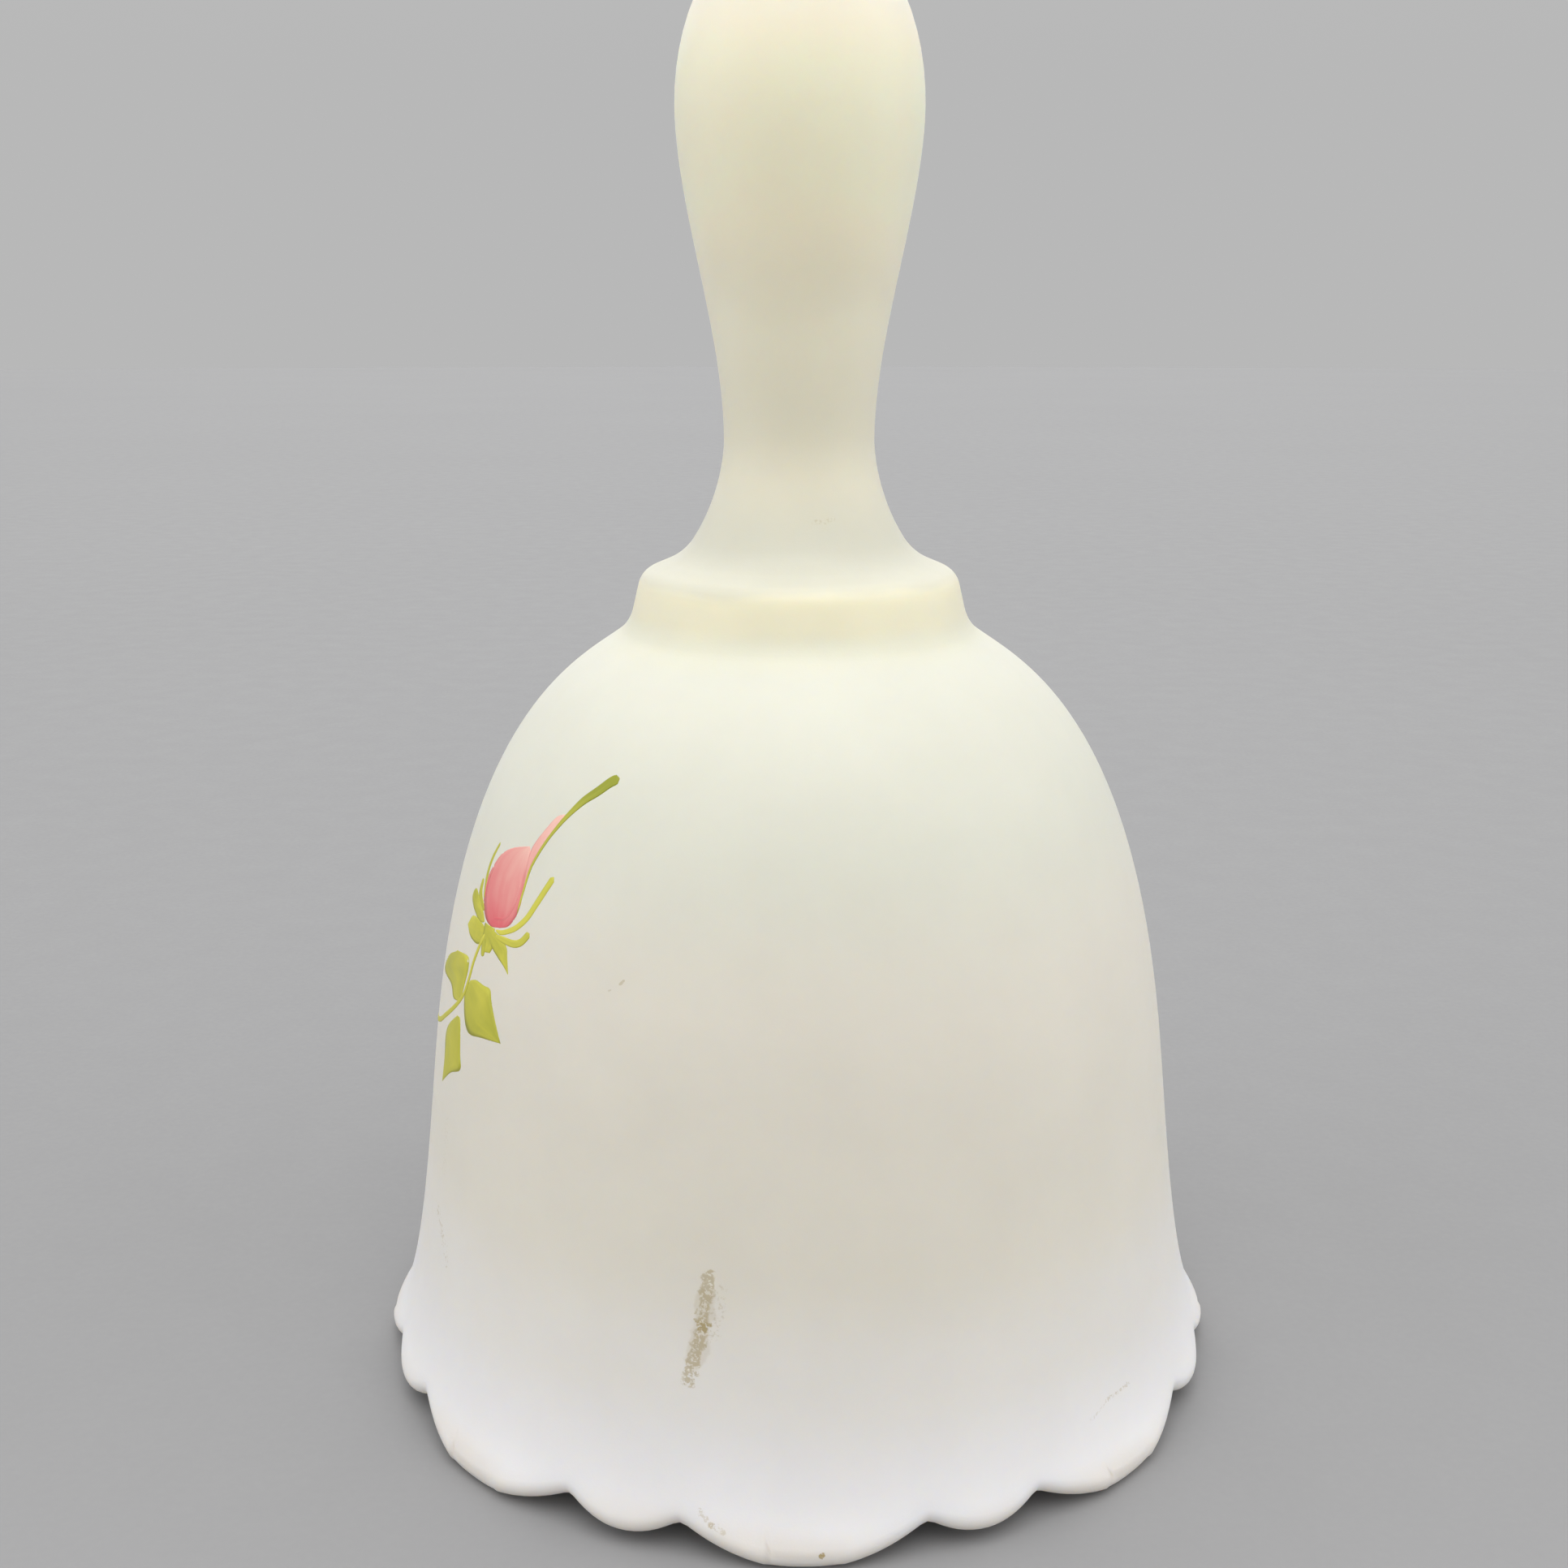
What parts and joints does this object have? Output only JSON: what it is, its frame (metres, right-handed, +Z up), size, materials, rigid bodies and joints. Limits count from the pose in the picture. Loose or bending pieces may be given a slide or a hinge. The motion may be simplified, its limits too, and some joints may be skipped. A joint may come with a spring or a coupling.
{
  "type": "hand bell",
  "caption": "Satin pressed-glass hand bell with a solid handle, stepped collar, flaring skirt and scalloped rim; a glass bead clapper hangs inside on a chain of wire links.",
  "frame": {"origin": "centre of the plane that the rim rests on", "axes": "+Z up the bell's axis to the end of the handle; -Y through the middle of a large lobe"},
  "size_m": [0.0998, 0.0998, 0.1605],
  "materials": {
    "satin_glass": "satin, acid-frosted, translucent cream white",
    "clear_glass": "clear, fire polished",
    "wire": "nickel-plated wire, slightly dulled",
    "enamel_pink": "thin hand-painted enamel, soft gloss",
    "enamel_green": "thin hand-painted enamel, soft gloss"
  },
  "bodies": {
    "bell": {"glass_bell": "satin_glass", "crown_staple": "wire"},
    "hanger": {"hanger_ring": "wire"},
    "link_1": {"chain_link_1": "wire"},
    "link_2": {"chain_link_2": "wire"},
    "link_3": {"chain_link_3": "wire"},
    "link_4": {"chain_link_4": "wire"},
    "link_5": {"chain_link_5": "wire"},
    "link_6": {"chain_link_6": "wire"},
    "link_7": {"chain_link_7": "wire"},
    "link_8": {"chain_link_8": "wire"},
    "clapper": {"clapper_pin": "wire", "clapper_bead": "clear_glass"}
  },
  "joints": [
    {"name": "hanger_swing", "type": "hinge", "parent": "bell", "child": "hanger", "pos_m": [0, 0, 0.0718], "axis": [1, 0, 0], "range_deg": [-34, 34]},
    {"name": "link_1_swing", "type": "hinge", "parent": "hanger", "child": "link_1", "pos_m": [0, 0, 0.0677], "axis": [0, 1, 0], "range_deg": [-38, 38]},
    {"name": "link_2_swing", "type": "hinge", "parent": "link_1", "child": "link_2", "pos_m": [0, 0, 0.0629], "axis": [-1, 0, 0], "range_deg": [-42, 42]},
    {"name": "link_3_swing", "type": "hinge", "parent": "link_2", "child": "link_3", "pos_m": [0, 0, 0.058], "axis": [0, -1, 0], "range_deg": [-48, 48]},
    {"name": "link_4_swing", "type": "hinge", "parent": "link_3", "child": "link_4", "pos_m": [0, 0, 0.0531], "axis": [1, 0, 0], "range_deg": [-57, 57]},
    {"name": "link_5_swing", "type": "hinge", "parent": "link_4", "child": "link_5", "pos_m": [0, 0, 0.0482], "axis": [0, 1, 0], "range_deg": [-70, 70]},
    {"name": "link_6_swing", "type": "hinge", "parent": "link_5", "child": "link_6", "pos_m": [0, 0, 0.0433], "axis": [-1, 0, 0], "range_deg": [-75, 75]},
    {"name": "link_7_swing", "type": "hinge", "parent": "link_6", "child": "link_7", "pos_m": [0, 0, 0.0384], "axis": [0, -1, 0], "range_deg": [-75, 75]},
    {"name": "link_8_swing", "type": "hinge", "parent": "link_7", "child": "link_8", "pos_m": [0, 0, 0.0335], "axis": [1, 0, 0], "range_deg": [-75, 75]},
    {"name": "clapper_swing", "type": "hinge", "parent": "link_8", "child": "clapper", "pos_m": [0, 0, 0.0286], "axis": [0, 1, 0], "range_deg": [-75, 75]}
  ]
}
